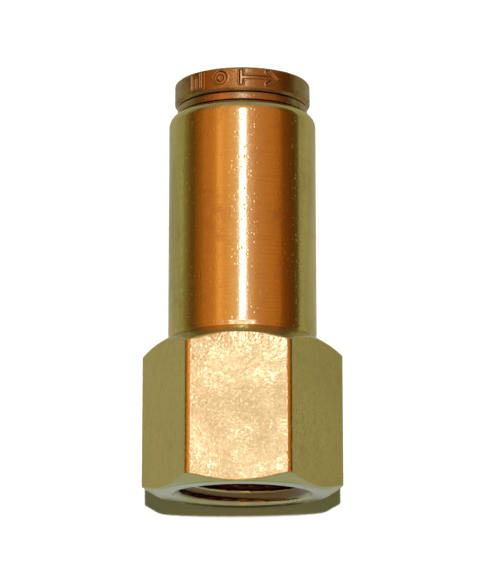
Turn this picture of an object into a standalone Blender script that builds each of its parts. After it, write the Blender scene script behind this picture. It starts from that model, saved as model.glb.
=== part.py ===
"""In-line flow control valve: push-in tube end, female pipe thread end, fixed metering jet inside.

The valve lies on one flat of its hexagon. Its axis runs along +Y, from the threaded port to the tube end.
Every piece is modelled along its own +Z, where z is the distance from the port face, and the empty
valve_axis lays that line along +Y. Units are metres.
"""

import math

import bmesh
import bpy
from mathutils import Matrix

MM = 0.001

# Driving dimensions
ACROSS_FLATS = 17.4625 * MM  # 11/16 in hexagon bar
LENGTH = 42.0 * MM  # port face to the end of the collet head
TUBE_RADIUS = 3.175 * MM  # 1/4 in tube
THREAD_PITCH = 25.4 / 18 * MM  # 18 threads to the inch
THREAD_TAPER = 1 / 32  # radius lost for each unit of depth, 1 in 16 on the diameter
RUNNING_GAP = 0.08 * MM  # left between neighbouring turned pieces
STEPS = 36  # facets round a turned piece

# Hexagon and barrel
FLAT = ACROSS_FLATS / 2
CORNER_ROUND = 0.7 * MM
HEX_END = 14.7 * MM  # where the upper chamfer meets the middle of a flat
FACE_RADIUS = 8.5 * MM
CHAMFER_SLOPE = math.tan(math.radians(30))
SHOULDER_SLOPE = math.tan(math.radians(33))
BARREL_RADIUS = 7.42 * MM
NECK_RADIUS = 7.30 * MM
BARREL_START = 16.1 * MM
BODY_END = 38.6 * MM
BODY_END_RADIUS = 6.75 * MM
BODY_END_ROUND = 1.3 * MM
ENVELOPE_RADIUS = 10.8 * MM  # outside the hexagon's corners

# Threaded port
COUNTERSINK_RADIUS = 6.95 * MM
THREAD_MINOR = 5.68 * MM
THREAD_DEPTH = 1.0 * MM
THREAD_END = 10.0 * MM
GROOVE_MOUTH = 1.2 * MM
GROOVE_ROOT = 0.08 * MM

# Valve chamber, from the port inwards
CHAMBER_RADIUS = 5.0 * MM
CHAMBER_START = 10.4 * MM
RING_GROOVE = (11.1 * MM, 12.0 * MM)
RING_GROOVE_RADIUS = 5.5 * MM
GUIDE_STOP = 13.85 * MM
SLEEVE_BORE_RADIUS = 4.6 * MM
SLEEVE_BORE_END = 20.38 * MM
PASSAGE_RADIUS = 2.1 * MM

# Tube end, from the passage outwards
SUPPORT_SEAT = 21.0 * MM
TUBE_STOP = 22.0 * MM
SUPPORT_SEAT_RADIUS = 3.05 * MM
TUBE_POCKET_RADIUS = TUBE_RADIUS + RUNNING_GAP
SEAL_START = 25.0 * MM
SEAL_RADIUS = 4.95 * MM
RETAINER_START = 28.3 * MM
RETAINER_BORE = 5.7 * MM
RETAINER_FLANGE = (BODY_END + 0.17 * MM, 39.5 * MM)
HEAD_START = 39.6 * MM
HEAD_RADIUS = 6.85 * MM

BRASS = ((0.62, 0.46, 0.20), 0.28, 1.0)
STEEL = ((0.55, 0.56, 0.58), 0.3, 1.0)
NITRILE = ((0.02, 0.02, 0.022), 0.6, 0.0)
NYLON = ((0.85, 0.84, 0.78), 0.45, 0.0)


# Helpers


def clear_scene():
    for obj in list(bpy.data.objects):
        bpy.data.objects.remove(obj)


def collection(name):
    made = bpy.data.collections.new(name)
    bpy.context.scene.collection.children.link(made)
    return made


def material(name, finish):
    colour, roughness, metallic = finish
    made = bpy.data.materials.new(name)
    made.use_nodes = True
    shader = made.node_tree.nodes["Principled BSDF"]
    shader.inputs["Base Color"].default_value = (*colour, 1)
    shader.inputs["Roughness"].default_value = roughness
    shader.inputs["Metallic"].default_value = metallic
    return made


def place(name, data, finish=None, cutter=False):
    """Links an object on the valve's axis, as a part or as a hidden cutter."""
    obj = bpy.data.objects.new(name, data)
    (CUTTERS if cutter else PARTS).objects.link(obj)
    obj.parent = AXIS
    if cutter:
        obj.hide_render = True
        obj.display_type = "WIRE"
    else:
        obj.data.materials.append(material(name + "_finish", finish))
    return obj


def turned(name, profile, finish=None, cutter=False):
    """A lathe-turned solid. The profile is (radius, z) points, down the outer side and back up the bore."""
    mesh = bpy.data.meshes.new(name)
    on_axis = profile[0][0] == 0
    count = len(profile)
    edges = [(i, (i + 1) % count) for i in range(count - on_axis)]
    mesh.from_pydata([(r, 0, z) for r, z in profile], edges, [])
    obj = place(name, mesh, finish, cutter)
    screw = obj.modifiers.new("turn", "SCREW")
    screw.axis = "Z"
    screw.steps = STEPS
    screw.render_steps = STEPS
    screw.use_merge_vertices = True
    screw.merge_threshold = 0.00001
    screw.use_smooth_shade = False
    return obj


def solid_mesh(name, build, finish=None, cutter=False):
    """A mesh filled by the function build, with its faces turned outwards."""
    bm = bmesh.new()
    build(bm)
    bmesh.ops.recalc_face_normals(bm, faces=bm.faces)
    mesh = bpy.data.meshes.new(name)
    bm.to_mesh(mesh)
    bm.free()
    return place(name, mesh, finish, cutter)


def boolean(obj, operation, other):
    cut = obj.modifiers.new(operation.lower() + "_" + other.name, "BOOLEAN")
    cut.operation = operation
    cut.object = other
    cut.solver = "EXACT"
    return cut


def add_cylinder(bm, radius, length, segments, matrix):
    """An upright cylinder centred on the matrix's origin."""
    bmesh.ops.create_cone(
        bm,
        cap_ends=True,
        segments=segments,
        radius1=radius,
        radius2=radius,
        depth=length,
        matrix=matrix,
    )


def add_box(bm, size, matrix):
    bmesh.ops.create_cube(bm, size=1, matrix=matrix @ Matrix.Diagonal((*size, 1)))


def hole_cutter(name, circles, hole_radius, z, length, segments):
    """A cutter of upright holes. Each circle is (radius, number of holes)."""

    def build(bm):
        for radius, count in circles:
            for i in range(count):
                turn = Matrix.Rotation(math.tau * (i + 0.3) / count, 4, "Z")
                shift = Matrix.Translation((radius, 0, z))
                add_cylinder(bm, hole_radius, length, segments, turn @ shift)

    return solid_mesh(name, build, cutter=True)


# Body


def bore_profile():
    """The bore's outline on one side of the axis, from the tube end down to the port."""
    thread_mouth = COUNTERSINK_RADIUS - THREAD_MINOR
    minor_end = THREAD_MINOR - THREAD_TAPER * CHAMBER_START
    groove_low, groove_high = RING_GROOVE
    over = 1 * MM
    return [
        (0, BODY_END + over),
        (RETAINER_BORE, BODY_END + over),
        (RETAINER_BORE, RETAINER_START),
        (SEAL_RADIUS, RETAINER_START),
        (SEAL_RADIUS, SEAL_START),
        (TUBE_POCKET_RADIUS, SEAL_START),
        (TUBE_POCKET_RADIUS, TUBE_STOP),
        (SUPPORT_SEAT_RADIUS, TUBE_STOP),
        (SUPPORT_SEAT_RADIUS, SUPPORT_SEAT),
        (PASSAGE_RADIUS, SUPPORT_SEAT),
        (PASSAGE_RADIUS, SLEEVE_BORE_END),
        (SLEEVE_BORE_RADIUS, SLEEVE_BORE_END),
        (SLEEVE_BORE_RADIUS, GUIDE_STOP),
        (CHAMBER_RADIUS, GUIDE_STOP),
        (CHAMBER_RADIUS, groove_high),
        (RING_GROOVE_RADIUS, groove_high),
        (RING_GROOVE_RADIUS, groove_low),
        (CHAMBER_RADIUS, groove_low),
        (CHAMBER_RADIUS, CHAMBER_START),
        (minor_end, CHAMBER_START),
        (THREAD_MINOR, thread_mouth),
        (COUNTERSINK_RADIUS, 0),
        (COUNTERSINK_RADIUS + over, -over),
        (0, -over),
    ]


def end_arc():
    """The rounded tube end, from the end face down to where the arc runs into the barrel."""
    middle = BARREL_RADIUS - BODY_END_ROUND
    first = math.acos((BODY_END_RADIUS - middle) / BODY_END_ROUND)
    foot = BODY_END - BODY_END_ROUND * math.sin(first)
    turns = [first * (1 - i / 4) for i in range(5)]
    return [
        (middle + BODY_END_ROUND * math.cos(a), foot + BODY_END_ROUND * math.sin(a))
        for a in turns
    ]


def envelope_profile():
    """The outline that the hexagon bar is turned down to."""
    chamfer_rise = (ENVELOPE_RADIUS - FACE_RADIUS) * CHAMFER_SLOPE
    shoulder_drop = (ENVELOPE_RADIUS - FLAT) * SHOULDER_SLOPE
    shoulder_rise = (FLAT - NECK_RADIUS) * SHOULDER_SLOPE
    return [
        (0, BODY_END),
        *end_arc(),
        (BARREL_RADIUS, BARREL_START),
        (NECK_RADIUS, HEX_END + shoulder_rise),
        (ENVELOPE_RADIUS, HEX_END - shoulder_drop),
        (ENVELOPE_RADIUS, chamfer_rise),
        (FACE_RADIUS, 0),
        (0, 0),
    ]


def thread_cutter():
    """The thread's groove as one helical solid, narrowed into the port by the pipe thread's taper."""
    first = -0.9 * THREAD_PITCH
    turns = (THREAD_END - first) / THREAD_PITCH
    steps = int(turns * STEPS * 2 / 3)
    overlap = 0.12 * MM
    root = THREAD_MINOR + THREAD_DEPTH
    mouth = THREAD_MINOR - overlap
    flank = (GROOVE_MOUTH - GROOVE_ROOT) / 2 * (1 + overlap / THREAD_DEPTH)
    section = [
        (mouth, first - GROOVE_ROOT / 2 - flank),
        (root, first - GROOVE_ROOT / 2),
        (root, first + GROOVE_ROOT / 2),
        (mouth, first + GROOVE_ROOT / 2 + flank),
    ]

    def build(bm):
        corners = [bm.verts.new((r, 0, z)) for r, z in section]
        face = bm.faces.new(corners)
        bmesh.ops.spin(
            bm,
            geom=[face, *face.verts, *face.edges],
            cent=(0, 0, 0),
            axis=(0, 0, 1),
            dvec=(0, 0, (THREAD_END - first) / steps),
            angle=math.tau * turns,
            steps=steps,
        )
        bm.faces.ensure_lookup_table()
        for vert in bm.verts:
            radius = vert.co.xy.length
            vert.co.xy *= (radius - THREAD_TAPER * vert.co.z) / radius

    return solid_mesh("cutter_thread", build, cutter=True)


def hexagon_bar(bm):
    """Bar stock with two flats facing up and down once the valve lies on its side."""
    length = BODY_END + 2 * MM
    turn = Matrix.Rotation(math.radians(30), 4, "Z")
    shift = Matrix.Translation((0, 0, BODY_END / 2))
    add_cylinder(bm, FLAT / math.cos(math.pi / 6), length, 6, shift @ turn)
    upright = [e for e in bm.edges if abs(e.verts[0].co.z - e.verts[1].co.z) > MM]
    bmesh.ops.bevel(
        bm,
        geom=upright,
        offset=CORNER_ROUND * math.tan(math.pi / 6),
        segments=3,
        affect="EDGES",
        profile=0.5,
    )


def valve_body():
    body = solid_mesh("valve_body", hexagon_bar, BRASS)
    boolean(body, "INTERSECT", turned("cutter_envelope", envelope_profile(), cutter=True))
    boolean(body, "DIFFERENCE", turned("cutter_bore", bore_profile(), cutter=True))
    boolean(body, "DIFFERENCE", thread_cutter())


# Tube end


def collet_retainer():
    """The pressed-in sleeve whose inner cone closes the collet's fingers on the tube."""
    low, high = RETAINER_FLANGE
    turned(
        "collet_retainer",
        [
            (4.75 * MM, high),
            (6.48 * MM, high),
            (6.58 * MM, high - 0.1 * MM),
            (6.58 * MM, low),
            (RETAINER_BORE - RUNNING_GAP, low),
            (RETAINER_BORE - RUNNING_GAP, RETAINER_START + 0.4 * MM),
            (RETAINER_BORE - 0.3 * MM, RETAINER_START + 0.1 * MM),
            (5.05 * MM, RETAINER_START + 0.1 * MM),
            (5.05 * MM, 32.0 * MM),
            (4.5 * MM, 34.9 * MM),
            (4.5 * MM, high - 0.25 * MM),
        ],
        BRASS,
    )


def collet():
    """Marked head, neck and four slotted gripping fingers with two inner teeth, in one piece."""
    bore = TUBE_RADIUS + 0.12 * MM
    tooth = TUBE_RADIUS - 0.05 * MM
    obj = turned(
        "collet",
        [
            (bore + 0.45 * MM, LENGTH),
            (HEAD_RADIUS - 0.15 * MM, LENGTH),
            (HEAD_RADIUS, LENGTH - 0.15 * MM),
            (HEAD_RADIUS, HEAD_START + 0.33 * MM),
            (HEAD_RADIUS - 0.33 * MM, HEAD_START),
            (4.4 * MM, HEAD_START),
            (4.4 * MM, 34.2 * MM),
            (4.82 * MM, 31.6 * MM),
            (4.82 * MM, 30.2 * MM),
            (4.3 * MM, 29.4 * MM),
            (3.7 * MM, 29.4 * MM),
            (tooth + 0.45 * MM, 30.0 * MM),
            (tooth, 30.15 * MM),
            (tooth + 0.35 * MM, 30.75 * MM),
            (tooth, 30.9 * MM),
            (tooth + 0.35 * MM, 31.5 * MM),
            (bore, 33.0 * MM),
            (bore, LENGTH - 0.45 * MM),
        ],
        BRASS,
    )
    slot_start, slot_end = 28.5 * MM, 37.5 * MM
    slot_size = (0.9 * MM, 12 * MM, slot_end - slot_start)
    for side in (-1, 1):

        def slot(bm):
            shift = Matrix.Translation((0, 0, (slot_start + slot_end) / 2))
            add_box(bm, slot_size, shift @ Matrix.Rotation(side * math.pi / 4, 4, "Z"))

        boolean(obj, "DIFFERENCE", solid_mesh(f"cutter_slot_{side}", slot, cutter=True))


def washer(name, inner, outer, low, high, finish):
    edge = 0.08 * MM
    turned(
        name,
        [
            (inner, high),
            (outer - edge, high),
            (outer, high - edge),
            (outer, low + edge),
            (outer - edge, low),
            (inner, low),
        ],
        finish,
    )


def o_ring(name, middle, section, height):
    points = [
        (
            middle + section * math.sin(math.tau * i / 12),
            height + section * math.cos(math.tau * i / 12),
        )
        for i in range(12)
    ]
    turned(name, points, NITRILE)


def tube_seal():
    """The tube's O-ring, with a backup ring below it and a spacer washer between it and the retainer."""
    outer = SEAL_RADIUS - RUNNING_GAP
    backup_low, backup_high = SEAL_START + RUNNING_GAP, 25.84 * MM
    spacer_low, spacer_high = 27.72 * MM, RETAINER_START - 0.05 * MM
    section = 0.86 * MM
    middle = outer - section + 0.05 * MM
    washer("backup_ring", TUBE_RADIUS + 0.125 * MM, outer, backup_low, backup_high, NYLON)
    o_ring("tube_o_ring", middle, section, (backup_high + spacer_low) / 2)
    washer("spacer_washer", TUBE_RADIUS + 0.175 * MM, outer, spacer_low, spacer_high, BRASS)


def tube_support():
    """The thin sleeve that stands inside the tube and keeps it round under the collet."""
    inner, outer = 1.6 * MM, 2.12 * MM
    top = 34.0 * MM
    turned(
        "tube_support",
        [
            (inner, top),
            (outer - 0.25 * MM, top),
            (outer, top - 0.6 * MM),
            (outer, TUBE_STOP - 0.1 * MM),
            (SUPPORT_SEAT_RADIUS - RUNNING_GAP, TUBE_STOP - 0.1 * MM),
            (SUPPORT_SEAT_RADIUS - RUNNING_GAP, SUPPORT_SEAT + RUNNING_GAP),
            (inner, SUPPORT_SEAT + RUNNING_GAP),
        ],
        BRASS,
    )


# Flow control cartridge

SEAT_LOW = 18.95 * MM
SEAT_LIP_RADIUS = 2.65 * MM
SEAT_LIP = 0.4 * MM
SEAT_HIGH = SLEEVE_BORE_END - RUNNING_GAP
SLEEVE_RADIUS = SLEEVE_BORE_RADIUS - RUNNING_GAP
SEAL_FACE = SEAT_LOW - RUNNING_GAP
SEAL_THICKNESS = 0.6 * MM
POPPET_TOP = SEAL_FACE - SEAL_THICKNESS - RUNNING_GAP
POPPET_FLANGE_LOW = POPPET_TOP - 1.2 * MM
SPRING_SEAT_HIGH = POPPET_FLANGE_LOW - RUNNING_GAP
SPRING_SEAT_LOW = SPRING_SEAT_HIGH - 0.3 * MM
STEM_RADIUS = 1.15 * MM
JET_SHANK = 0.75 * MM
SEAL_WASHER = 0.25 * MM
GUIDE_LOW = 12.63 * MM
GUIDE_HIGH = GUIDE_STOP - RUNNING_GAP
HUB_HIGH = 15.2 * MM
BUSH_RADIUS = 1.6 * MM
CARTRIDGE_RADIUS = CHAMBER_RADIUS - RUNNING_GAP


def seat_ring():
    """The poppet closes on this ring's lip. A groove round it holds an O-ring against the body."""
    section = 0.26 * MM
    groove_low, groove_high = 19.5 * MM, 20.1 * MM
    groove_root = 3.85 * MM
    turned(
        "seat_ring",
        [
            (PASSAGE_RADIUS, SEAT_HIGH),
            (SLEEVE_RADIUS, SEAT_HIGH),
            (SLEEVE_RADIUS, groove_high),
            (groove_root, groove_high),
            (groove_root, groove_low),
            (SLEEVE_RADIUS, groove_low),
            (SLEEVE_RADIUS, SEAT_LOW + SEAT_LIP),
            (SEAT_LIP_RADIUS, SEAT_LOW + SEAT_LIP),
            (SEAT_LIP_RADIUS, SEAT_LOW),
            (PASSAGE_RADIUS, SEAT_LOW),
        ],
        BRASS,
    )
    o_ring("seat_o_ring", SLEEVE_RADIUS - section - RUNNING_GAP, section, (groove_low + groove_high) / 2)


def cage_sleeve():
    """Spacer that holds the seat ring off the spring guide, with the poppet moving inside it."""
    high = SEAT_LOW + SEAT_LIP - RUNNING_GAP
    washer("cage_sleeve", 4.1 * MM, SLEEVE_RADIUS, GUIDE_STOP, high, BRASS)


def poppet():
    """Mushroom poppet with a drilled stem. Free flow lifts it off the seat towards the port."""
    socket = JET_SHANK + RUNNING_GAP
    turned(
        "poppet",
        [
            (socket, POPPET_TOP),
            (3.45 * MM, POPPET_TOP),
            (3.6 * MM, POPPET_TOP - 0.15 * MM),
            (3.6 * MM, POPPET_FLANGE_LOW),
            (STEM_RADIUS, POPPET_FLANGE_LOW),
            (STEM_RADIUS, 14.3 * MM),
            (STEM_RADIUS - 0.15 * MM, 14.15 * MM),
            (0.55 * MM, 14.15 * MM),
            (0.55 * MM, POPPET_FLANGE_LOW + 0.1 * MM),
            (socket, POPPET_FLANGE_LOW + 0.1 * MM),
        ],
        BRASS,
    )


def poppet_rings():
    """The soft seal and the washer that the jet clamps on the poppet, and the spring's seat below it."""
    bore = JET_SHANK + RUNNING_GAP
    washer_low = SEAL_FACE + RUNNING_GAP
    washer("poppet_seal", bore, 3.2 * MM, SEAL_FACE - SEAL_THICKNESS, SEAL_FACE, NITRILE)
    washer("seal_washer", bore, 1.85 * MM, washer_low, washer_low + SEAL_WASHER, BRASS)
    washer("spring_seat", STEM_RADIUS + RUNNING_GAP, 3.1 * MM, SPRING_SEAT_LOW, SPRING_SEAT_HIGH, STEEL)


def orifice_jet():
    """The metering jet. Its head clamps the seal, and its fine bore is the one way past a closed poppet."""
    head_low = SEAL_FACE + SEAL_WASHER + 2 * RUNNING_GAP
    head_high = head_low + 0.5 * MM
    orifice = 0.3 * MM
    obj = turned(
        "orifice_jet",
        [
            (orifice, head_high),
            (1.5 * MM, head_high),
            (1.6 * MM, head_high - 0.1 * MM),
            (1.6 * MM, head_low),
            (JET_SHANK, head_low),
            (JET_SHANK, POPPET_FLANGE_LOW + 0.25 * MM),
            (orifice, POPPET_FLANGE_LOW + 0.25 * MM),
        ],
        BRASS,
    )

    def slot(bm):
        size = (0.4 * MM, 4 * MM, 0.5 * MM)
        add_box(bm, size, Matrix.Translation((0, 0, head_high)))

    boolean(obj, "DIFFERENCE", solid_mesh("cutter_jet_slot", slot, cutter=True))


def poppet_spring():
    """Compression spring between the guide and the spring seat, with closed end coils."""
    wire = 0.15 * MM
    coil = 2.7 * MM
    low = GUIDE_HIGH + wire + RUNNING_GAP
    high = SPRING_SEAT_LOW - wire - RUNNING_GAP
    turns = 4
    points_per_turn = 20
    count = turns * points_per_turn
    closed = 2 * wire * 1.1
    curve = bpy.data.curves.new("poppet_spring", "CURVE")
    curve.dimensions = "3D"
    curve.bevel_depth = wire
    curve.bevel_resolution = 2
    curve.use_fill_caps = True
    spline = curve.splines.new("POLY")
    spline.points.add(count)
    for i, point in enumerate(spline.points):
        turn = i / points_per_turn
        if turn < 1:
            height = low + closed * turn
        elif turn > turns - 1:
            height = high - closed * (turns - turn)
        else:
            share = (turn - 1) / (turns - 2)
            height = low + closed + (high - low - 2 * closed) * share
        angle = math.tau * turn
        point.co = (coil * math.cos(angle), coil * math.sin(angle), height, 1)
    place("poppet_spring", curve, STEEL)


def spring_guide():
    """Perforated plate with a hub that carries the bush for the poppet's stem."""
    bore = BUSH_RADIUS + RUNNING_GAP
    obj = turned(
        "spring_guide",
        [
            (bore, HUB_HIGH),
            (2.15 * MM, HUB_HIGH),
            (2.15 * MM, GUIDE_HIGH),
            (CARTRIDGE_RADIUS, GUIDE_HIGH),
            (CARTRIDGE_RADIUS, GUIDE_LOW),
            (bore, GUIDE_LOW),
        ],
        BRASS,
    )
    holes = hole_cutter("cutter_guide_holes", [(3.6 * MM, 6)], 0.8 * MM, GUIDE_LOW, 4 * MM, 12)
    boolean(obj, "DIFFERENCE", holes)


def guide_bush():
    bore = STEM_RADIUS + RUNNING_GAP
    turned(
        "guide_bush",
        [
            (bore, HUB_HIGH + 0.32 * MM),
            (2.1 * MM, HUB_HIGH + 0.32 * MM),
            (2.1 * MM, HUB_HIGH + RUNNING_GAP),
            (BUSH_RADIUS, HUB_HIGH + RUNNING_GAP),
            (BUSH_RADIUS, GUIDE_LOW),
            (bore, GUIDE_LOW),
        ],
        NYLON,
    )


SCREEN_LOW = 12.05 * MM


def screen_frame():
    turned(
        "screen_frame",
        [
            (4.6 * MM, SCREEN_LOW + 0.5 * MM),
            (CARTRIDGE_RADIUS, SCREEN_LOW + 0.5 * MM),
            (CARTRIDGE_RADIUS, SCREEN_LOW),
            (4.2 * MM, SCREEN_LOW),
            (4.2 * MM, SCREEN_LOW + 0.14 * MM),
            (4.6 * MM, SCREEN_LOW + 0.14 * MM),
        ],
        BRASS,
    )


def inlet_screen():
    """Perforated disc that keeps dirt off the metering jet."""
    low, high = SCREEN_LOW + 0.22 * MM, SCREEN_LOW + 0.44 * MM
    radius = 4.5 * MM
    obj = turned("inlet_screen", [(0, high), (radius, high), (radius, low), (0, low)], STEEL)
    circles = [(1.1 * MM, 6), (2.3 * MM, 12), (3.5 * MM, 18)]
    holes = hole_cutter("cutter_screen_holes", circles, 0.36 * MM, high, 2 * MM, 8)
    boolean(obj, "DIFFERENCE", holes)


def snap_ring():
    """Internal retaining ring with two lugs for ring pliers."""
    low, high = 11.2 * MM, 11.85 * MM
    outer = RING_GROOVE_RADIUS - 0.12 * MM
    inner = 4.35 * MM
    lug_angle = math.radians(16)
    lug_middle = 3.95 * MM
    middle = (low + high) / 2
    obj = turned("snap_ring", [(inner, high), (outer, high), (outer, low), (inner, low)], STEEL)

    def lug_shape(radius, length):
        def build(bm):
            for side in (-1, 1):
                turn = Matrix.Rotation(-math.pi / 2 + side * lug_angle, 4, "Z")
                shift = Matrix.Translation((lug_middle, 0, middle))
                add_cylinder(bm, radius, length, 16, turn @ shift)

        return build

    def gap(bm):
        shift = Matrix.Translation((0, -outer, middle))
        add_box(bm, (0.9 * MM, 4 * MM, 2 * MM), shift)

    lugs = solid_mesh("cutter_lugs", lug_shape(0.85 * MM, high - low), cutter=True)
    pins = solid_mesh("cutter_lug_holes", lug_shape(0.4 * MM, 2 * MM), cutter=True)
    boolean(obj, "UNION", lugs)
    boolean(obj, "DIFFERENCE", pins)
    boolean(obj, "DIFFERENCE", solid_mesh("cutter_ring_gap", gap, cutter=True))


clear_scene()
PARTS = collection("flow_control_valve")
CUTTERS = collection("cutters")
AXIS = bpy.data.objects.new("valve_axis", None)
PARTS.objects.link(AXIS)
AXIS.location = (0, -LENGTH / 2, FLAT)
AXIS.rotation_euler = (-math.pi / 2, 0, 0)

valve_body()
collet_retainer()
collet()
tube_seal()
tube_support()
seat_ring()
cage_sleeve()
poppet()
poppet_rings()
orifice_jet()
poppet_spring()
spring_guide()
guide_bush()
screen_frame()
inlet_screen()
snap_ring()
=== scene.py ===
"""Looks for the in-line flow control valve: brass body, push-in tube end, threaded port and inner parts.

Visible pieces are modelled finely here and stand for the plain CAD nodes of the same place and size.
Work is done in millimetres along the valve's axis: z is the distance from the port face, and the angle
round the axis is 0 at the top and grows towards +X. to_world turns those into the shared frame.
"""

import math

import bmesh
import bpy
import numpy as np
from mathutils import Matrix, Vector


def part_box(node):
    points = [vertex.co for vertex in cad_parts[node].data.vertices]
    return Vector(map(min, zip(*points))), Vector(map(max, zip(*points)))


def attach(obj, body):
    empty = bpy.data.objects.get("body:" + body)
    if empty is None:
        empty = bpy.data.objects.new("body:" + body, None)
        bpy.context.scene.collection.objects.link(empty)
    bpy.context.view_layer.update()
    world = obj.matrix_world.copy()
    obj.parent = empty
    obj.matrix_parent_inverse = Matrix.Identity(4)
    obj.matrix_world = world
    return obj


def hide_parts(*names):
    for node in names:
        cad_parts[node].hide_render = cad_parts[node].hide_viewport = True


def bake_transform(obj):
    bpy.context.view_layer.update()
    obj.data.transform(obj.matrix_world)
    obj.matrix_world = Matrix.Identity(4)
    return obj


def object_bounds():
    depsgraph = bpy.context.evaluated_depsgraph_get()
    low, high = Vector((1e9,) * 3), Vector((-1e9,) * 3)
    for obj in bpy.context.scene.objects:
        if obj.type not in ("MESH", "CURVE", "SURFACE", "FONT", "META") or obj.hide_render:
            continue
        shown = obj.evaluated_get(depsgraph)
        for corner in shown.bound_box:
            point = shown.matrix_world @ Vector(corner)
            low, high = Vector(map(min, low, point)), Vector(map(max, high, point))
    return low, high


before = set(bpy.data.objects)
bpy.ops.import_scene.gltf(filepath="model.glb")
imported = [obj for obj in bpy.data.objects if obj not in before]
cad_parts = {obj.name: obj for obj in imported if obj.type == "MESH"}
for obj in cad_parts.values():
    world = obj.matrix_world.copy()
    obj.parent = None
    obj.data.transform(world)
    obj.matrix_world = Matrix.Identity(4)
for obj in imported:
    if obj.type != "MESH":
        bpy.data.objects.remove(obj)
CAD_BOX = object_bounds()

MM = 0.001
FLAT = (CAD_BOX[1].z - CAD_BOX[0].z) / MM / 2  # half the width across flats
PORT_Y = CAD_BOX[0].y
LENGTH = (CAD_BOX[1].y - CAD_BOX[0].y) / MM
AXIS_Z = FLAT * MM

# Body
CORNER_ROUND = 0.7
EDGE_ROUND = 0.13
FACE_RADIUS = 8.5
FACE_EDGE = 0.1
CHAMFER_SLOPE = math.tan(math.radians(30))
SHOULDER_SLOPE = math.tan(math.radians(33))
HEX_END = 14.7
NECK_RADIUS = 7.3
NECK_END = 15.6
BARREL_RADIUS = 7.42
BARREL_START = 16.1
BODY_END = 38.6
BODY_END_RADIUS = 6.75
BODY_END_ROUND = 1.3
CONE_FINISH_END = 15.75  # from here on the body has the barrel's finish
# Rows of the outer side: where each stretch starts, and how many rows it has
OUTER_ROWS = ((0, 5), (FACE_EDGE, 30), (1.3, 14), (13.3, 66), (16.2, 24), (37.4, 27), (BODY_END, 1))

# Body's bore, from the port to the tube end
BORE_START, CARTRIDGE_RADIUS = 10.5, 5.0
GROOVE_LOW, GROOVE_HIGH, GROOVE_RADIUS = 11.1, 12.0, 5.5
CARTRIDGE_STOP, CHAMBER_RADIUS = 13.85, 4.6
CHAMBER_END, PASSAGE_RADIUS = 20.38, 2.1
PASSAGE_END, SUPPORT_RADIUS = 21.0, 3.05
SUPPORT_END, TUBE_RADIUS = 22.0, 3.255
SEAL_LOW, SEAL_HIGH, SEAL_RADIUS = 25.0, 28.3, 4.95
POCKET_RADIUS = 5.7

# Pipe thread
PITCH = 25.4 / 18
MINOR = 5.68
TAPER = 1 / 32
COUNTERSINK = 6.95
CREST_CUT = 0.05
GROOVE_DEPTH = 1.08
RUN_OUT = 1.2
THREAD_END = 10.0
THREAD_STOP = 10.4
THREAD_START = 0.35  # turns by which the crest is turned on from the top of the port

# Collet
HEAD_START = 39.6
HEAD_RADIUS = 6.85
HEAD_EDGE = 0.15
HEAD_CHAMFER = 0.33
COLLET_NECK_RADIUS = 4.4
COLLET_BORE = 3.295
FINGER_RADIUS = 4.82
FINGER_TIP = 29.4
TOOTH_RADIUS = 3.125
TOOTH_RISE = 0.35
SLOT_WIDTH, SLOT_MIDDLE, SLOT_LENGTH = 0.9, 33, 9
MARK_DEPTH = 0.18
MARK_SECTOR = 52  # degrees to each side of the top that the marks' fine mesh covers


# Mesh helpers


def to_world(radius, angle, z):
    """World positions in metres for points given round the valve's axis."""
    x = radius * np.sin(angle) * MM
    y = PORT_Y + z * MM
    height = AXIS_Z + radius * np.cos(angle) * MM
    return np.stack([x, y + 0 * x, height], axis=-1)


AXIS_FRAME = Matrix(((1, 0, 0, 0), (0, 0, 1, PORT_Y), (0, -1, 0, AXIS_Z), (0, 0, 0, 1)))


def smooth_min(a, b, width):
    """The smaller of two values, with the corner where they cross rounded over width."""
    h = np.clip(0.5 + 0.5 * (b - a) / width, 0, 1)
    return b + (a - b) * h - width * h * (1 - h)


def smooth_max(a, b, width):
    return -smooth_min(-a, -b, width)


def smooth_step(low, high, value):
    t = np.clip((value - low) / (high - low), 0, 1)
    return t * t * (3 - 2 * t)


def finish_piece(obj, nodes, body, sharp=35):
    """Shades a piece smooth, lets it stand for its CAD nodes and ties it to its body."""
    obj.data.shade_smooth()
    obj.data.set_sharp_from_angle(angle=math.radians(sharp))
    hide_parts(*nodes)
    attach(obj, body)


def add_object(name, mesh, materials):
    obj = bpy.data.objects.new(name, mesh)
    bpy.context.scene.collection.objects.link(obj)
    for material in materials:
        mesh.materials.append(material)
    return obj


def ring_grid(name, radius, z, angles, materials):
    """A closed ring of quads. radius and z have a row for each outline point and a column for each angle."""
    rows, columns = radius.shape
    points = to_world(radius, angles[None, :], z).reshape(-1, 3)
    i, j = np.meshgrid(np.arange(rows), np.arange(columns), indexing="ij")
    i2, j2 = (i + 1) % rows, (j + 1) % columns
    quads = np.stack([i * columns + j, i2 * columns + j, i2 * columns + j2, i * columns + j2], -1)
    mesh = bpy.data.meshes.new(name)
    mesh.from_pydata(points.tolist(), [], quads.reshape(-1, 4).tolist())
    mesh.update()
    return add_object(name, mesh, materials)


def rounded_outline(corners, edge, arc_points=4):
    """A closed outline of (radius, z) corners, each rounded by edge or by less where its sides are short."""
    outline = []
    count = len(corners)
    for k, corner in enumerate(corners):
        p = Vector(corner)
        before = Vector(corners[k - 1]) - p
        after = Vector(corners[(k + 1) % count]) - p
        cut = min(edge, before.length * 0.45, after.length * 0.45)
        start = p + before.normalized() * cut
        end = p + after.normalized() * cut
        for t in np.linspace(0, 1, arc_points):
            outline.append(start * (1 - t) ** 2 + p * 2 * t * (1 - t) + end * t**2)
    return np.array([list(v) for v in outline])


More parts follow.
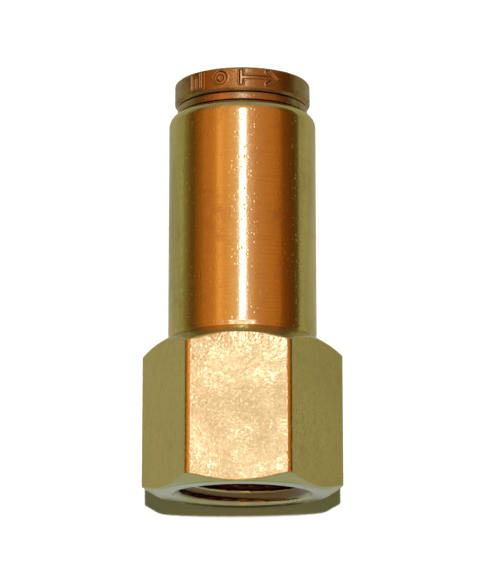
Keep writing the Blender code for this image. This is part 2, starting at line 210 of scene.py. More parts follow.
def turned(name, corners, material, edge, steps=144, arc_points=4):
    """A turned ring whose corners run down its outer side and back up its bore."""
    outline = rounded_outline(corners, edge, arc_points)
    angles = np.linspace(0, math.tau, steps, endpoint=False)
    shape = (len(outline), steps)
    radius = np.broadcast_to(outline[:, :1], shape)
    z = np.broadcast_to(outline[:, 1:], shape)
    return ring_grid(name, radius, z, angles, [material])


def cut_with(obj, build, operation="DIFFERENCE"):
    """Cuts a piece with the solid that build makes on the valve's axis, and keeps the result as its mesh."""
    bm = bmesh.new()
    build(bm)
    bmesh.ops.recalc_face_normals(bm, faces=bm.faces)
    bm.transform(AXIS_FRAME)
    mesh = bpy.data.meshes.new("cutter")
    bm.to_mesh(mesh)
    bm.free()
    cutter = bpy.data.objects.new("cutter", mesh)
    bpy.context.scene.collection.objects.link(cutter)
    cut = obj.modifiers.new("cut", "BOOLEAN")
    cut.operation = operation
    cut.object = cutter
    cut.solver = "EXACT"
    result = bpy.data.meshes.new_from_object(obj.evaluated_get(bpy.context.evaluated_depsgraph_get()))
    obj.modifiers.clear()
    obj.data = result
    bpy.data.objects.remove(cutter)


def bevel_edges(obj, width, segments):
    bevel = obj.modifiers.new("edges", "BEVEL")
    bevel.width = width * MM
    bevel.segments = segments
    bevel.limit_method = "ANGLE"


def add_cylinder(bm, radius, length, segments, matrix):
    bmesh.ops.create_cone(
        bm,
        cap_ends=True,
        segments=segments,
        radius1=radius * MM,
        radius2=radius * MM,
        depth=length * MM,
        matrix=matrix,
    )


def shift(x, y, z):
    return Matrix.Translation((x * MM, y * MM, z * MM))


def spin(degrees):
    return Matrix.Rotation(math.radians(degrees), 4, "Z")


# Materials

# Brass: sizes of its patterns as counts in a metre, and depths of its relief in mm
ROLLING_COUNT = 1300.0
FACET_COUNT = 3000.0
GRAIN_COUNT = 16000.0
PATCH_COUNT = 260.0
STAIN_COUNT = 900.0
NICK_COUNT = 1500.0
TURNED_STRETCH = (60.0, 9000.0, 60.0)
DRAWN_STRETCH = (9000.0, 90.0, 9000.0)
SCRATCH_STRETCH = (4200.0, 1100.0, 4200.0)
NICK_DEPTH = 0.014
LINE_DEPTH = 0.0022
GRAIN_DEPTH = 0.0012
SCRATCH_SHARE = 0.7  # the scratches' depth as a share of the dents'
SCRATCH_TURNS = (38, -52, 81)  # directions of the crossing scratches, in degrees from the valve's axis


class Nodes:
    """Short calls for building one material's node tree."""

    def __init__(self, name, emission=False):
        is_new = isinstance(name, str)
        self.material = bpy.data.materials.new(name) if is_new else name
        self.material.use_nodes = True
        self.tree = self.material.node_tree
        self.shader = self.tree.nodes["Principled BSDF"]
        if emission:
            output = self.tree.nodes["Material Output"]
            self.tree.nodes.remove(self.shader)
            self.shader = self.tree.nodes.new("ShaderNodeEmission")
            self.tree.links.new(self.shader.outputs[0], output.inputs["Surface"])

    def put(self, value, socket):
        """Links a node's output to a socket, or sets the socket to a number or colour."""
        if isinstance(value, bpy.types.NodeSocket):
            self.tree.links.new(value, socket)
        elif isinstance(value, tuple) and len(value) < len(socket.default_value):
            socket.default_value = (*value, 1)
        else:
            socket.default_value = value

    def position(self):
        return self.tree.nodes.new("ShaderNodeTexCoord").outputs["Object"]

    def math(self, operation, a, b=0.0):
        made = self.tree.nodes.new("ShaderNodeMath")
        made.operation = operation
        self.put(a, made.inputs[0])
        self.put(b, made.inputs[1])
        return made.outputs[0]

    def scaled(self, vector, scale):
        made = self.tree.nodes.new("ShaderNodeVectorMath")
        made.operation = "MULTIPLY"
        self.put(vector, made.inputs[0])
        self.put(scale, made.inputs[1])
        return made.outputs[0]

    def rotated(self, vector, degrees):
        """Turns a direction about the vertical."""
        made = self.tree.nodes.new("ShaderNodeVectorRotate")
        made.rotation_type = "Z_AXIS"
        self.put(vector, made.inputs["Vector"])
        self.put(math.radians(degrees), made.inputs["Angle"])
        return made.outputs[0]

    def parts_of(self, vector):
        made = self.tree.nodes.new("ShaderNodeSeparateXYZ")
        self.put(vector, made.inputs[0])
        return made.outputs

    def noise(self, vector, scale, detail=2.0, roughness=0.5):
        made = self.tree.nodes.new("ShaderNodeTexNoise")
        self.put(vector, made.inputs["Vector"])
        self.put(scale, made.inputs["Scale"])
        self.put(detail, made.inputs["Detail"])
        self.put(roughness, made.inputs["Roughness"])
        return made.outputs["Fac"]

    def cells(self, vector, scale):
        """Distance to the nearest of scattered points, and a random value for that point."""
        made = self.tree.nodes.new("ShaderNodeTexVoronoi")
        self.put(vector, made.inputs["Vector"])
        self.put(scale, made.inputs["Scale"])
        return made.outputs["Distance"], self.parts_of(made.outputs["Color"])[0]

    def ramp(self, value, low, high, out_low=0.0, out_high=1.0):
        made = self.tree.nodes.new("ShaderNodeMapRange")
        made.interpolation_type = "SMOOTHSTEP"
        for socket, number in zip(made.inputs, (value, low, high, out_low, out_high)):
            self.put(number, socket)
        return made.outputs[0]

    def mix(self, factor, a, b):
        made = self.tree.nodes.new("ShaderNodeMix")
        made.data_type = "RGBA"
        self.put(factor, made.inputs[0])
        self.put(a, made.inputs[6])
        self.put(b, made.inputs[7])
        return made.outputs[2]

    def bump(self, height, distance):
        made = self.tree.nodes.new("ShaderNodeBump")
        self.put(height, made.inputs["Height"])
        self.put(distance, made.inputs["Distance"])
        self.put(1.0, made.inputs["Strength"])
        return made.outputs["Normal"]

    def set(self, **values):
        for key, value in values.items():
            self.put(value, self.shader.inputs[key.replace("_", " ")])


def brass(
    name, colour, tarnish, lines, dents, roughness=0.2, wear=0.5, pits=(3600, 0.012, 0.3), streaks=0.22
):
    """Brass with machining lines, tumbling dents, pits, nicks, scratches and tarnish.

    lines is how the marks run: "turned" round the axis, or "drawn" along it. dents is their depth in mm,
    pits is how many small pits could lie in a metre, their depth in mm and the share of them that is
    there. wear is how far the dull patches take on the tarnish, streaks how far the marks do.
    """
    n = Nodes(name)
    place = n.position()
    stretch = TURNED_STRETCH if lines == "turned" else DRAWN_STRETCH
    marks = n.noise(n.scaled(place, stretch), 1.0, 3.0, 0.6)
    fine = n.noise(place, GRAIN_COUNT, 2.0)
    rolling = n.noise(place, ROLLING_COUNT, 1.0, 0.5)
    facets, facet_chance = n.cells(place, FACET_COUNT)
    hammered = n.math("ADD", rolling, n.math("MULTIPLY", facets, n.ramp(facet_chance, 0.2, 0.9)))
    pit_count, pit_depth, pit_share = pits
    distance, chance = n.cells(place, float(pit_count))
    is_pit = n.ramp(chance, 1 - pit_share, 1.2 - pit_share)
    pitted = n.math("MULTIPLY", n.ramp(distance, 0.0, 0.45, -1.0, 0.0), is_pit)
    distance, chance = n.cells(place, NICK_COUNT)
    is_nick = n.ramp(chance, 0.75, 0.95)
    nicks = n.math("MULTIPLY", n.ramp(distance, 0.0, 0.22, -1.0, 0.0), is_nick)
    height = n.math("MULTIPLY", hammered, dents)
    for relief, depth in ((pitted, pit_depth), (nicks, NICK_DEPTH), (marks, LINE_DEPTH), (fine, GRAIN_DEPTH)):
        height = n.math("ADD", height, n.math("MULTIPLY", relief, depth))
    for turn in SCRATCH_TURNS:
        grain = n.noise(n.scaled(n.rotated(place, turn), SCRATCH_STRETCH), 1.0, 1.0)
        height = n.math("ADD", height, n.ramp(grain, 0.6, 0.7, 0.0, -SCRATCH_SHARE * dents))
    patches = n.noise(place, PATCH_COUNT, 4.0, 0.6)
    stains = n.noise(place, STAIN_COUNT, 3.0, 0.65)
    dull = n.math("MULTIPLY", n.ramp(patches, 0.42, 0.68), n.ramp(stains, 0.35, 0.7))
    shade = n.mix(n.math("MULTIPLY", dull, wear), colour, tarnish)
    shade = n.mix(n.ramp(marks, 0.42, 0.66, 0.0, streaks), shade, tarnish)
    dull_roughness = n.math("MULTIPLY", dull, 0.14)
    mark_roughness = n.ramp(marks, 0.3, 0.8, -0.03, 0.05)
    rough = n.math("ADD", roughness, n.math("ADD", dull_roughness, mark_roughness))
    n.set(Base_Color=shade, Metallic=1.0, Roughness=rough, Normal=n.bump(height, MM))
    return n.material


def paint_groove_shade(material, groove_shade_colour):
    """Adds painted shade in the port's thread, below its crests: a darker colour by depth that stands in for
    the shade and dark reflections in the grooves.
    """
    n = Nodes(material)
    x, y, z = n.parts_of(n.position())
    up = n.math("SUBTRACT", z, AXIS_Z)
    squares = n.math("ADD", n.math("MULTIPLY", x, x), n.math("MULTIPLY", up, up))
    depth = n.math("SUBTRACT", y, PORT_Y)
    crest = n.math("SUBTRACT", MINOR * MM, n.math("MULTIPLY", depth, TAPER))
    below_crest = n.math("SUBTRACT", n.math("SQRT", squares), crest)
    inside_port = n.ramp(depth, 0.2 * MM, 0.5 * MM)
    # how far the painted shade darkens the thread, growing with depth below the crest
    groove_shade_amount = n.math("MULTIPLY", n.ramp(below_crest, 0.05 * MM, 0.3 * MM), inside_port)
    colour = n.shader.inputs["Base Color"].links[0].from_socket
    n.set(Base_Color=n.mix(groove_shade_amount, colour, groove_shade_colour))


def plain_metal(name, colour, roughness):
    """Steel with a fine grain and slightly darker clouds."""
    n = Nodes(name)
    place = n.position()
    grain = n.noise(place, 5200.0, 3.0)
    cloud = n.noise(place, 420.0, 3.0)
    dark = tuple(c * 0.7 for c in colour)
    n.set(
        Base_Color=n.mix(n.ramp(cloud, 0.35, 0.75), colour, dark),
        Metallic=1.0,
        Roughness=n.ramp(grain, 0.2, 0.8, roughness - 0.06, roughness + 0.1),
        Normal=n.bump(grain, 0.004 * MM),
    )
    return n.material


def soft_material(name, colour, pale, roughness, specular):
    """Rubber and nylon: fine moulded grain with slightly paler rubbed places."""
    n = Nodes(name)
    place = n.position()
    grain = n.noise(place, 7000.0, 3.0)
    rubbed = n.ramp(n.noise(place, 800.0, 4.0), 0.45, 0.75)
    n.set(
        Base_Color=n.mix(rubbed, colour, pale),
        Roughness=n.ramp(grain, 0.2, 0.8, roughness - 0.08, roughness + 0.08),
        Specular_IOR_Level=specular,
        Normal=n.bump(grain, 0.006 * MM),
    )
    return n.material


BRASS = (0.56, 0.46, 0.15)
TARNISH = (0.40, 0.27, 0.08)
PALE_TARNISH = (0.44, 0.31, 0.09)
flat_brass = brass("drawn_brass", BRASS, PALE_TARNISH, "drawn", 0.0105, 0.09, 0.35, (2500, 0.02, 0.4), 0.15)
cone_brass = brass("turned_brass", BRASS, TARNISH, "turned", 0.004, 0.2)
barrel_brass = brass("barrel_brass", BRASS, TARNISH, "turned", 0.0015, 0.13, 0.5, (3400, 0.016, 0.35))
retainer_brass = brass("retainer_brass", (0.37, 0.26, 0.085), (0.2, 0.11, 0.04), "turned", 0.008, 0.24)
thread_brass = brass("thread_brass", (0.6, 0.5, 0.2), TARNISH, "turned", 0.002, 0.22)
# painted shade: the thread's grooves are darkened by depth in place of the shade that falls in them
paint_groove_shade(thread_brass, (0.2, 0.1, 0.022))
head_brass = brass("head_brass", (0.345, 0.225, 0.064), (0.18, 0.095, 0.03), "turned", 0.004, 0.24, 0.8)
inner_brass = brass("inner_brass", (0.62, 0.5, 0.2), TARNISH, "turned", 0.002, 0.2)
spring_steel = plain_metal("spring_steel", (0.42, 0.41, 0.4), 0.3)
stainless = plain_metal("stainless_steel", (0.58, 0.58, 0.57), 0.24)
nitrile = soft_material("nitrile", (0.018, 0.018, 0.02), (0.05, 0.05, 0.052), 0.5, 0.4)
nylon = soft_material("nylon", (0.8, 0.78, 0.7), (0.88, 0.87, 0.82), 0.42, 0.5)


# Valve body


def hexagon_radius(angles):
    """Distance from the axis to a hexagon with rounded corners and a flat at angle 0."""
    off = np.abs((angles + math.pi / 6) % (math.pi / 3) - math.pi / 6)
    centre = (FLAT - CORNER_ROUND) / math.cos(math.pi / 6)
    from_corner = math.pi / 6 - off
    inside = np.clip(CORNER_ROUND**2 - (centre * np.sin(from_corner)) ** 2, 0, None)
    corner = centre * np.cos(from_corner) + np.sqrt(inside)
    on_flat = FLAT * np.tan(off) <= (FLAT - CORNER_ROUND) * math.tan(math.pi / 6)
    return np.where(on_flat, FLAT / np.cos(off), corner)


def hexagon_angles():
    """Angles round the body, closer together at the hexagon's corners."""
    corner_start = 26.6
    flat_part = np.linspace(0, corner_start, 13, endpoint=False)
    corner_part = np.linspace(corner_start, 30, 9)
    half = np.concatenate([flat_part, corner_part])
    sector = np.concatenate([half, 60 - half[-2:0:-1]])
    return np.radians(np.concatenate([sector + 60 * k for k in range(6)]))


def end_arc(z):
    """The rounded tube end: an arc that runs into the barrel and stops at the end face."""
    middle = BARREL_RADIUS - BODY_END_ROUND
    rise = math.sqrt(BODY_END_ROUND**2 - (BODY_END_RADIUS - middle) ** 2)
    along = np.clip(z - (BODY_END - rise), 0, rise)
    return middle + np.sqrt(BODY_END_ROUND**2 - along**2)


def outer_radius(angles, z):
    """The bar's surface after its chamfer, shoulder, barrel and end chamfer are turned."""
    angles, z = np.meshgrid(angles, z)
    # the edges are rounded a little unevenly
    ripple = 0.02 * np.sin(5 * angles + 1.3) + 0.015 * np.sin(17 * angles + 0.4)
    edge = EDGE_ROUND + ripple
    lower_cone = FACE_RADIUS + z / CHAMFER_SLOPE
    upper_cone = FLAT + (HEX_END - z) / SHOULDER_SLOPE
    radius = smooth_min(hexagon_radius(angles), lower_cone, edge)
    radius = smooth_min(radius, upper_cone, edge)
    taper = smooth_step(NECK_END, BARREL_START, z)
    barrel = NECK_RADIUS + (BARREL_RADIUS - NECK_RADIUS) * taper
    radius = smooth_max(radius, np.minimum(barrel, end_arc(z)), 0.05)
    rounding = FACE_RADIUS - FACE_EDGE + np.sqrt(np.clip(z, 0, FACE_EDGE) * 2 * FACE_EDGE)
    return np.where(z < FACE_EDGE, np.minimum(radius, rounding), radius)


def outer_rows():
    """z of the outer side's rows from the tube end to the port, closer together at its edges."""
    stretches = zip(OUTER_ROWS, OUTER_ROWS[1:])
    rows = [np.linspace(start, end, count, endpoint=False) for (start, count), (end, _) in stretches]
    return np.concatenate([*rows, [BODY_END]])[::-1]


def thread_radius(angles, z):
    """The port's bore: mouth countersink, then a right-hand taper thread that runs out at its end."""
    angles, z = np.meshgrid(angles, z)
    turn = (z / PITCH - angles / math.tau - THREAD_START) % 1
    from_groove = np.abs(turn - 0.5) * PITCH
    sharp_height = PITCH * math.cos(math.pi / 6)
    depth = sharp_height * (1 - 2 * from_groove / PITCH) - CREST_CUT
    depth = smooth_max(smooth_min(depth, GROOVE_DEPTH + 0 * depth, 0.08), 0 * depth, 0.1)
    depth = depth * (1 - smooth_step(THREAD_END - RUN_OUT, THREAD_STOP, z))
    minor = MINOR - TAPER * z
    return smooth_max(minor + depth, COUNTERSINK - z, 0.06)


def valve_body():
    angles = hexagon_angles()
    outer_z = outer_rows()
    thread_z = np.linspace(0, THREAD_STOP, 190)
    bore = np.array(
        [
            (MINOR - TAPER * BORE_START, BORE_START),
            (CARTRIDGE_RADIUS, BORE_START + 0.25),
            (CARTRIDGE_RADIUS, GROOVE_LOW),
            (GROOVE_RADIUS, GROOVE_LOW),
            (GROOVE_RADIUS, GROOVE_HIGH),
            (CARTRIDGE_RADIUS, GROOVE_HIGH),
            (CARTRIDGE_RADIUS, CARTRIDGE_STOP),
            (CHAMBER_RADIUS, CARTRIDGE_STOP),
            (CHAMBER_RADIUS, CHAMBER_END),
            (PASSAGE_RADIUS, CHAMBER_END),
            (PASSAGE_RADIUS, PASSAGE_END),
            (SUPPORT_RADIUS, PASSAGE_END),
            (SUPPORT_RADIUS, SUPPORT_END),
            (TUBE_RADIUS, SUPPORT_END),
            (TUBE_RADIUS, SEAL_LOW - 0.1),
            (TUBE_RADIUS + 0.095, SEAL_LOW),
            (SEAL_RADIUS, SEAL_LOW),
            (SEAL_RADIUS, SEAL_HIGH),
            (POCKET_RADIUS, SEAL_HIGH),
            (POCKET_RADIUS, BODY_END - 0.1),
            (POCKET_RADIUS + 0.1, BODY_END),
        ]
    )
    outer = outer_radius(angles, outer_z)
    thread = thread_radius(angles, thread_z)
    inner = np.repeat(bore[:, :1], len(angles), axis=1)
    radius = np.concatenate([outer, thread, inner])
    z_column = np.concatenate([outer_z, thread_z, bore[:, 1]])
    z = np.repeat(z_column[:, None], len(angles), axis=1)
    on_flat, on_cone, on_barrel, in_bore = range(4)
    materials = [flat_brass, cone_brass, barrel_brass, thread_brass]
    body = ring_grid("valve_body_fine", radius, z, angles, materials)
    index = np.full(radius.shape, in_bore, np.int32)
    is_hexagon = np.abs(outer - hexagon_radius(angles)[None, :]) < 0.05
    is_barrel = z[: len(outer_z)] > CONE_FINISH_END
    index[: len(outer_z)] = np.where(is_barrel, on_barrel, np.where(is_hexagon, on_flat, on_cone))
    body.data.polygons.foreach_set("material_index", index.reshape(-1))
    finish_piece(body, ["valve_body"], "body")


# Tube end


def stroke(x, z, start, end, half_width):
    """How far points lie inside a straight stroke with round ends. Positive is inside."""
    direction = np.subtract(end, start)
    along = ((x - start[0]) * direction[0] + (z - start[1]) * direction[1]) / (direction @ direction)
    along = np.clip(along, 0, 1)
    gap = np.hypot(x - start[0] - along * direction[0], z - start[1] - along * direction[1])
    return half_width - gap


def rim_marks(x, z):
    """Stamped marks on the collet's rim, with a burr: ticks, a ring and an arrow. 1 at full depth."""
    low, high, half = 40.3, 41.62, 0.16
    middle = (low + high) / 2
    shapes = []
    for x0, top in ((-5.25, high), (-4.65, middle + 0.2), (-4.05, high)):
        shapes.append(stroke(x, z, (x0, low), (x0, top), half))
    shapes.append(half - np.abs(np.hypot(x + 1.95, z - middle) - 0.52))
    tip = (3.75, middle)
    shapes.append(stroke(x, z, (0.2, middle), tip, half))
    shapes.append(stroke(x, z, (2.95, high), tip, half))
    shapes.append(stroke(x, z, (2.95, low), tip, half))
    shapes.append(stroke(x, z, (0.2, low), (0.2, high), half))
    inside = np.maximum.reduce(shapes)
    burr = np.exp(-(((inside + 0.13) / 0.06) ** 2))
    return smooth_step(-0.07, 0.06, inside) - 0.2 * burr


def collet():
    """Marked head, neck and slotted fingers, in one piece."""
    corners = [
        (COLLET_BORE + 0.45, LENGTH),
        (HEAD_RADIUS - HEAD_EDGE, LENGTH),
        (HEAD_RADIUS, LENGTH - HEAD_EDGE),
        (HEAD_RADIUS, HEAD_START + HEAD_CHAMFER),
        (HEAD_RADIUS - HEAD_CHAMFER, HEAD_START),
        (COLLET_NECK_RADIUS, HEAD_START),
        (COLLET_NECK_RADIUS, 34.2),
        (FINGER_RADIUS, 31.6),
        (FINGER_RADIUS, 30.2),
        (4.3, FINGER_TIP),
        (3.7, FINGER_TIP),
        (TOOTH_RADIUS + 0.45, 30.0),
        (TOOTH_RADIUS, 30.15),
        (TOOTH_RADIUS + TOOTH_RISE, 30.75),
        (TOOTH_RADIUS, 30.9),
        (TOOTH_RADIUS + TOOTH_RISE, 31.5),
        (COLLET_BORE, 33.0),
        (COLLET_BORE, LENGTH - 0.45),
    ]
    outline = rounded_outline(corners, 0.07)
    rim = int(np.argmax((outline[:-1, 0] > HEAD_RADIUS - 0.001) & (np.diff(outline[:, 1]) < -1)))
    top, bottom = outline[rim, 1], outline[rim + 1, 1]
    band_z = np.linspace(top, bottom, 52)[1:-1]
    band = np.stack([np.full(len(band_z), HEAD_RADIUS), band_z], axis=1)
    outline = np.concatenate([outline[: rim + 1], band, outline[rim + 1 :]])
    marked = np.radians(np.linspace(-MARK_SECTOR, MARK_SECTOR, 330))
    plain = np.linspace(marked[-1], math.tau + marked[0], 92)[1:-1]
    angles = np.concatenate([marked, plain])
    radius = np.repeat(outline[:, :1], len(angles), axis=1)
    z = np.repeat(outline[:, 1:], len(angles), axis=1)
    rows = slice(rim + 1, rim + 1 + len(band_z))
    arc = np.where(angles > math.pi, angles - math.tau, angles) * HEAD_RADIUS
    depth = rim_marks(np.repeat(arc[None, :], len(band_z), axis=0), z[rows])
    radius[rows] -= MARK_DEPTH * depth
    obj = ring_grid("collet_fine", radius, z, angles, [head_brass])
    for side in (45, -45):

        def slot(bm):
            size = Matrix.Diagonal((SLOT_WIDTH * MM, 12 * MM, SLOT_LENGTH * MM, 1))
            bmesh.ops.create_cube(bm, size=1, matrix=shift(0, 0, SLOT_MIDDLE) @ spin(side) @ size)

        cut_with(obj, slot)
    finish_piece(obj, ["collet"], "collet", 50)


def small_rings():
    """The turned pieces of the tube end and of the flow control cartridge."""
    retainer = [
        (4.75, 39.5),
        (6.58, 39.5),
        (6.58, BODY_END + 0.17),
        (5.62, BODY_END + 0.17),
        (5.62, 28.7),
        (5.4, 28.4),
        (5.05, 28.4),
        (5.05, 32.0),
        (4.5, 34.9),
        (4.5, 39.25),
    ]
    obj = turned("collet_retainer_fine", retainer, retainer_brass, 0.09)
    finish_piece(obj, ["collet_retainer"], "body")

    support = [(1.6, 34), (1.87, 34), (2.12, 33.4), (2.12, 21.9), (2.97, 21.9), (2.97, 21.08), (1.6, 21.08)]
    obj = turned("tube_support_fine", support, inner_brass, 0.06)
    finish_piece(obj, ["tube_support"], "body")

    circle = [
        (4.06 + 0.86 * math.sin(a), 26.78 + 0.86 * math.cos(a))
        for a in np.linspace(0, math.tau, 24, endpoint=False)
    ]
    obj = turned("tube_o_ring_fine", circle, nitrile, 0.02, arc_points=2)
    finish_piece(obj, ["tube_o_ring"], "body", 60)

    washer = [(3.35, 28.25), (4.87, 28.25), (4.87, 27.72), (3.35, 27.72)]
    obj = turned("spacer_washer_fine", washer, inner_brass, 0.1)
    finish_piece(obj, ["spacer_washer"], "body")

    backup = [(3.3, 25.84), (4.87, 25.84), (4.87, 25.08), (3.3, 25.08)]
    obj = turned("backup_ring_fine", backup, nylon, 0.1)
    finish_piece(obj, ["backup_ring"], "body")

    screen_ring = [(4.6, 12.55), (4.92, 12.55), (4.92, 12.05), (4.2, 12.05), (4.2, 12.19), (4.6, 12.19)]
    obj = turned("screen_frame_fine", screen_ring, inner_brass, 0.05)
    finish_piece(obj, ["screen_frame"], "body")


def inlet_screen():
    """A perforated disc."""
    middle, hole = 12.4, 0.36
    disc = [(0.06, 12.49), (4.5, 12.49), (4.5, 12.27), (0.06, 12.27)]
    obj = turned("inlet_screen_fine", disc, stainless, 0.04, steps=96, arc_points=3)

    def holes(bm):
        for radius, count in ((1.1, 6), (2.3, 12), (3.5, 18)):
            for k in range(count):
                place = spin(360 * (k + 0.3) / count) @ shift(radius, 0, middle)
                add_cylinder(bm, hole, 2, 24, place)
        add_cylinder(bm, hole, 2, 24, shift(0, 0, middle))

    cut_with(obj, holes)
    bevel_edges(obj, 0.03, 2)
    finish_piece(obj, ["inlet_screen"], "body")


def snap_ring():
    """Internal retaining ring with two drilled lugs."""
    inner, outer, middle, lug_place, lug_turn = 4.35, 5.38, 11.525, 3.95, 16
    ring = [(inner, 11.85), (outer, 11.85), (outer, 11.2), (inner, 11.2)]
    obj = turned("snap_ring_fine", ring, spring_steel, 0.0, steps=120, arc_points=2)

    def discs(radius, length):
        def build(bm):
            for side in (-lug_turn, lug_turn):
                add_cylinder(bm, radius, length, 32, spin(side - 90) @ shift(lug_place, 0, middle))

        return build

    def gap(bm):
        size = Matrix.Diagonal((0.9 * MM, 4 * MM, 2 * MM, 1))
        bmesh.ops.create_cube(bm, size=1, matrix=shift(0, -outer, middle) @ size)

    cut_with(obj, discs(0.85, 0.65), "UNION")
    cut_with(obj, discs(0.4, 2))
    cut_with(obj, gap)
    bevel_edges(obj, 0.06, 3)
    finish_piece(obj, ["snap_ring"], "body")


def poppet_spring():
    """Compression spring with closed end coils."""
    wire, coil, turns, steps = 0.15, 2.7, 4, 48
    low_end, high_end = ((corner[1] - PORT_Y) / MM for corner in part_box("poppet_spring"))
    low, high = low_end + wire, high_end - wire
    closed = 2.2 * wire
    turn = np.linspace(0, turns, turns * steps + 1)[:, None]
    z = np.interp(turn, (0, 1, turns - 1, turns), (low, low + closed, high - closed, high))
    section = np.linspace(0, math.tau, 12, endpoint=False)[None, :]
    radius = coil + wire * np.cos(section)
    points = to_world(radius + 0 * turn, math.tau * turn + math.pi / 2, z + wire * np.sin(section))
    rows, columns = points.shape[:2]
    i, j = np.meshgrid(np.arange(rows - 1), np.arange(columns), indexing="ij")
    j2 = (j + 1) % columns
    quads = np.stack([i * columns + j, (i + 1) * columns + j, (i + 1) * columns + j2, i * columns + j2], -1)
    caps = [list(range(columns)), list(range((rows - 1) * columns, rows * columns))[::-1]]
    mesh = bpy.data.meshes.new("poppet_spring_fine")
    mesh.from_pydata(points.reshape(-1, 3).tolist(), [], quads.reshape(-1, 4).tolist() + caps)
    mesh.update()
    obj = add_object("poppet_spring_fine", mesh, [spring_steel])
    mesh.shade_smooth()
    mesh.set_sharp_from_angle(angle=math.radians(50))
    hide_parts("poppet_spring")
    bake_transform(obj)


valve_body()
collet()
small_rings()
inlet_screen()
snap_ring()
poppet_spring()

INNER_FINISH = {
    "poppet": inner_brass,
    "poppet_seal": nitrile,
    "orifice_jet": inner_brass,
    "seal_washer": inner_brass,
    "spring_seat": stainless,
    "seat_ring": inner_brass,
    "seat_o_ring": nitrile,
    "cage_sleeve": inner_brass,
    "spring_guide": inner_brass,
    "guide_bush": nylon,
}
for name, finish in INNER_FINISH.items():
    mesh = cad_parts[name].data
    mesh.materials.clear()
    mesh.materials.append(finish)
    mesh.shade_smooth()
    mesh.set_sharp_from_angle(angle=math.radians(30))


# Floor and surroundings

ROLL = math.radians(2.7)  # how far the camera and the room's light lean to one side round the axis

SHEET_COLOUR, SHEET_BEFORE_PORT = (0.43, 0.43, 0.345), (0.4, 0.49, 0.64)
TINT_START, TINT_FULL = 0.3, 2.2  # distances before the port
DOME_RADIUS = 1.5
ROOM_ENDS = (0.4, 0.48, 0.58)
LAMP_STRENGTH, LAMP_COLOUR = 6.0, (0.6, 1.0, 2.3)
LOW_LAMP = (2.6, 1.25, 0.36)
PANEL_HEIGHT, PANEL_PLACE, PANEL_HALF_X, PANEL_HALF_Y = 20, 7.3, 9, 10.8
PANEL_COLOUR, PANEL_SPOT = (1.36, 1.16, 1.72), (6.6, 6.6, 13.5)
PANEL_SPOT_COUNT = 850.0
BACKDROP_RADIUS = 1.9


def plane(name, half_x, half_y, z, material):
    mesh = bpy.data.meshes.new(name)
    corners = [(-half_x, -half_y, z), (half_x, -half_y, z), (half_x, half_y, z), (-half_x, half_y, z)]
    mesh.from_pydata(corners, [], [(0, 1, 2, 3)])
    obj = add_object(name, mesh, [material])
    return obj


def sphere(name, segments, rings, radius, material):
    bm = bmesh.new()
    bmesh.ops.create_uvsphere(bm, u_segments=segments, v_segments=rings, radius=radius)
    mesh = bpy.data.meshes.new(name)
    bm.to_mesh(mesh)
    bm.free()
    obj = add_object(name, mesh, [material])
    return obj


def show_in_mirrors_only(obj):
    obj.visible_camera = False
    obj.visible_diffuse = False
    obj.visible_shadow = False
    obj.visible_transmission = False


def paper(name, albedo, unevenness, before_port=None):
    """Slightly uneven paper, which can be tinted where it lies before the valve's port."""
    n = Nodes(name)
    grain = n.noise(n.position(), 55.0, 4.0)
    shade = tuple(c * (1 - unevenness) for c in albedo)
    colour = n.mix(n.ramp(grain, 0.3, 0.7), albedo, shade)
    if before_port:
        y = n.parts_of(n.position())[1]
        near_port = n.ramp(y, PORT_Y - TINT_FULL * MM, PORT_Y - TINT_START * MM, 1.0, 0.0)
        colour = n.mix(near_port, colour, before_port)
    n.set(Base_Color=colour, Roughness=0.9, Specular_IOR_Level=0.1)
    return n.material


floor = plane("floor", 3, 3, 0, paper("white_paper", (0.93, 0.93, 0.93), 0.015))
floor.visible_glossy = False

# The brass mirrors a smaller, dimmer sheet, as it would with a lamp that lights the table unevenly.
dim_paper = paper("dim_paper", SHEET_COLOUR, 0.22, SHEET_BEFORE_PORT)
sheet = plane("mirrored_sheet", 0.07, 0.3, 0.05 * MM, dim_paper)
show_in_mirrors_only(sheet)

# Colours of the room round the valve's axis, by the angle from the top
SURROUNDINGS = [
    (-99, (0.34, 0.3, 0.13)),
    (-94, (0.24, 0.18, 0.06)),
    (-84, (0.17, 0.08, 0.02)),
    (-70, (0.45, 0.15, 0.03)),
    (-60, (0.74, 0.26, 0.06)),
    (-44, (0.88, 0.33, 0.1)),
    (-36, (1.5, 0.7, 0.33)),
    (-27, (1.15, 0.52, 0.22)),
    (-16, (1.3, 0.66, 0.42)),
    (-9, (1.25, 0.75, 0.7)),
    (12, (1.15, 0.6, 0.5)),
    (24, (0.86, 0.37, 0.22)),
    (44, (0.76, 0.29, 0.09)),
    (58, (0.64, 0.22, 0.05)),
    (68, (0.28, 0.08, 0.012)),
    (86, (0.15, 0.06, 0.012)),
    (98, (0.16, 0.12, 0.05)),
]


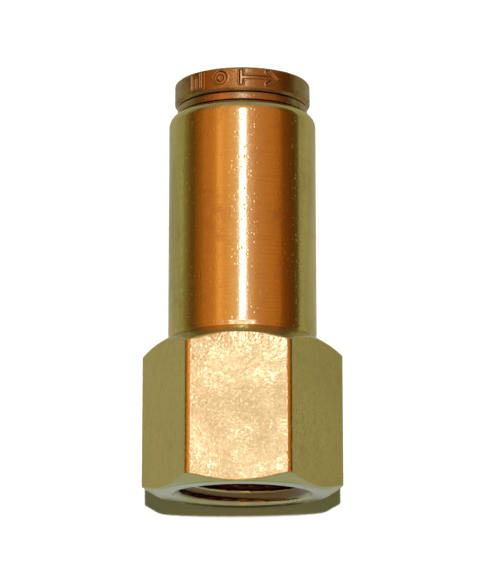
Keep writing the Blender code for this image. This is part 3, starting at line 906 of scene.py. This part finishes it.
def surroundings():
    """Warm room, a lamp overhead and a low one beside it, which only the metal mirrors."""
    n = Nodes("warm_room", emission=True)
    x, y, z = n.parts_of(n.position())
    around = n.math("ARCTAN2", x, z)
    place = n.math("ADD", n.math("DIVIDE", around, math.tau), 0.5)
    ramp = n.tree.nodes.new("ShaderNodeValToRGB")
    ramp.color_ramp.interpolation = "EASE"
    elements = ramp.color_ramp.elements
    while len(elements) < len(SURROUNDINGS):
        elements.new(0.5)
    for element, (degrees, colour) in zip(elements, SURROUNDINGS):
        element.position = degrees / 360 + 0.5
        element.color = (*colour, 1)
    n.put(place, ramp.inputs[0])
    lean = n.math("DIVIDE", y, DOME_RADIUS)

    def away_from(degrees):
        """Angle round the axis from a direction."""
        return n.math("ABSOLUTE", n.math("SUBTRACT", around, math.radians(degrees)))

    def fade(value, low, high):
        return n.ramp(value, low, high, 1.0, 0.0)

    def leaning(degrees):
        return math.sin(math.radians(degrees))

    end = n.ramp(n.math("ABSOLUTE", lean), 0.6, 0.92)
    room = n.mix(end, ramp.outputs[0], ROOM_ENDS)
    narrow = fade(away_from(0.7), math.radians(1.9), math.radians(5.2))
    reach = n.ramp(lean, leaning(2), leaning(8))
    far = fade(lean, leaning(21), leaning(27))
    lamp = n.math("MULTIPLY", n.math("MULTIPLY", narrow, LAMP_STRENGTH), n.math("MULTIPLY", reach, far))
    below = fade(lean, leaning(-30), leaning(-3))
    beside = fade(away_from(-8), math.radians(2), math.radians(6))
    room = n.mix(n.math("MULTIPLY", below, beside), room, LOW_LAMP)
    total = n.tree.nodes.new("ShaderNodeVectorMath")
    total.operation = "MULTIPLY_ADD"
    for socket, value in zip(total.inputs, (lamp, LAMP_COLOUR, room)):
        n.put(value, socket)
    n.set(Color=total.outputs[0], Strength=1.0)
    dome = sphere("surroundings", 64, 32, DOME_RADIUS, n.material)
    dome.location = (0, 0, AXIS_Z)
    dome.rotation_euler.y = ROLL
    show_in_mirrors_only(dome)


surroundings()


def flat_light():
    """Panel close above the hexagon that its upper flat mirrors. Brighter spots make the dents sparkle."""
    n = Nodes("flat_light", emission=True)
    distance, chance = n.cells(n.position(), PANEL_SPOT_COUNT)
    spots = n.math("MULTIPLY", n.ramp(distance, 0.3, 0.4, 1.0, 0.0), n.ramp(chance, 0.35, 0.5))
    n.set(Color=n.mix(spots, PANEL_COLOUR, PANEL_SPOT), Strength=1.0)
    panel = plane("flat_light", PANEL_HALF_X * MM, PANEL_HALF_Y * MM, 0, n.material)
    height = AXIS_Z + PANEL_HEIGHT * MM
    panel.location = (height * math.sin(ROLL), PORT_Y + PANEL_PLACE * MM, AXIS_Z + height * math.cos(ROLL))
    panel.rotation_euler.y = ROLL
    show_in_mirrors_only(panel)


flat_light()


def backdrop():
    """Plain white beyond the floor, seen only by the camera."""
    n = Nodes("white_backdrop", emission=True)
    n.set(Color=(1.0, 1.0, 1.0), Strength=1.0)
    obj = sphere("backdrop", 48, 24, BACKDROP_RADIUS, n.material)
    obj.visible_diffuse = False
    obj.visible_glossy = False
    obj.visible_shadow = False
    obj.visible_transmission = False


backdrop()

world = bpy.data.worlds.new("studio")
world.use_nodes = True
world.node_tree.nodes["Background"].inputs["Color"].default_value = (0.83, 1, 0.43, 1)
world.node_tree.nodes["Background"].inputs["Strength"].default_value = 0.118
world.cycles_visibility.glossy = False
world.cycles_visibility.camera = False
bpy.context.scene.world = world

lamp_light = bpy.data.lights.new("lamp", "SUN")
lamp_light.energy = 3.6
lamp_light.angle = math.radians(1.2)
lamp_object = bpy.data.objects.new("lamp", lamp_light)
lamp_object.rotation_euler = (math.radians(-3.0), ROLL, 0)
lamp_object.visible_glossy = False
bpy.context.scene.collection.objects.link(lamp_object)


# Camera

CAMERA_TILT, CAMERA_YAW = math.radians(12.95), math.radians(0.154)
CAMERA_BEFORE_PORT, CAMERA_HEIGHT = 0.04294, 0.2756  # metres, the height from the valve's axis
LENS = 173.3


def camera():
    """Looks down on the valve from a little in front of its port."""
    tilt, yaw = CAMERA_TILT, CAMERA_YAW
    forward = Vector((math.sin(yaw), math.cos(yaw) * math.sin(tilt), -math.cos(yaw) * math.cos(tilt)))
    right = Vector((math.cos(yaw), -math.sin(yaw) * math.sin(tilt), math.sin(yaw) * math.cos(tilt)))
    up = right.cross(forward)
    data = bpy.data.cameras.new("camera")
    data.sensor_width = 36
    data.lens = LENS
    data.clip_start = 0.01
    data.clip_end = 50
    obj = bpy.data.objects.new("camera", data)
    aim = Matrix((right, up, -forward)).transposed().to_4x4()
    stand = Matrix.Translation((0, PORT_Y - CAMERA_BEFORE_PORT, CAMERA_HEIGHT))
    obj.matrix_world = Matrix.Translation((0, 0, AXIS_Z)) @ Matrix.Rotation(ROLL, 4, "Y") @ stand @ aim
    bpy.context.scene.collection.objects.link(obj)
    bpy.context.scene.camera = obj


camera()

view = bpy.context.scene.view_settings
view.view_transform = "Standard"
view.look = "None"
